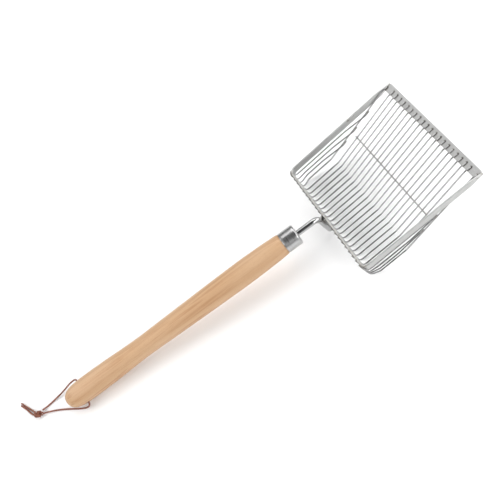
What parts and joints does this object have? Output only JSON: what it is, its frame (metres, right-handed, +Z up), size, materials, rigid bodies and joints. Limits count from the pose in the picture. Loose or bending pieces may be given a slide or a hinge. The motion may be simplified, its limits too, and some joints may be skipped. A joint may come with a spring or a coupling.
{
  "type": "beach sand scoop",
  "caption": "Sifting scoop with a shallow wire basket, flat digging lip, bent steel neck rod, turned wooden handle and leather lanyard.",
  "frame": {"origin": "on the ground, under the middle of the scoop without its lanyard", "axes": "+Y runs from the butt of the handle to the digging lip, +X to the right when looking along +Y, +Z up out of the basket"},
  "size_m": [0.182, 0.6584, 0.0728],
  "materials": {
    "basket_wire": "drawn stainless wire, dull bright, tinted at the welds",
    "rim_steel": "flat stainless bar, brushed along its length",
    "lip_steel": "flat stainless bar, ground, with dark spot welds",
    "rod_steel": "polished round stainless bar",
    "ferrule_steel": "drawn steel cup, satin",
    "handle_wood": "turned hardwood, clear varnish, grain along the handle",
    "lanyard_leather": "round reddish brown leather cord, matt"
  },
  "bodies": {
    "root": {"rim_band": "rim_steel", "lip_strip": "lip_steel", "bottom_wire_01": "basket_wire", "bottom_wire_02": "basket_wire", "bottom_wire_03": "basket_wire", "bottom_wire_04": "basket_wire", "bottom_wire_05": "basket_wire", "bottom_wire_06": "basket_wire", "bottom_wire_07": "basket_wire", "bottom_wire_08": "basket_wire", "bottom_wire_09": "basket_wire", "bottom_wire_10": "basket_wire", "bottom_wire_11": "basket_wire", "bottom_wire_12": "basket_wire", "bottom_wire_13": "basket_wire", "bottom_wire_14": "basket_wire", "bottom_wire_15": "basket_wire", "bottom_wire_16": "basket_wire", "bottom_wire_17": "basket_wire", "bottom_wire_18": "basket_wire", "bottom_wire_19": "basket_wire", "bottom_wire_20": "basket_wire", "bottom_wire_left_edge": "basket_wire", "bottom_wire_right_edge": "basket_wire", "side_wire_left_1": "basket_wire", "side_wire_left_2": "basket_wire", "side_wire_left_3": "basket_wire", "side_wire_right_1": "basket_wire", "side_wire_right_2": "basket_wire", "side_wire_right_3": "basket_wire", "cross_wire": "basket_wire", "neck_rod": "rod_steel", "ferrule": "ferrule_steel", "handle": "handle_wood", "lanyard_in_hole": "lanyard_leather", "lanyard_leg_left": "lanyard_leather", "lanyard_leg_right": "lanyard_leather", "lanyard_tail_1": "lanyard_leather", "lanyard_tail_2": "lanyard_leather", "lanyard_knot": "lanyard_leather"}
  },
  "joints": []
}
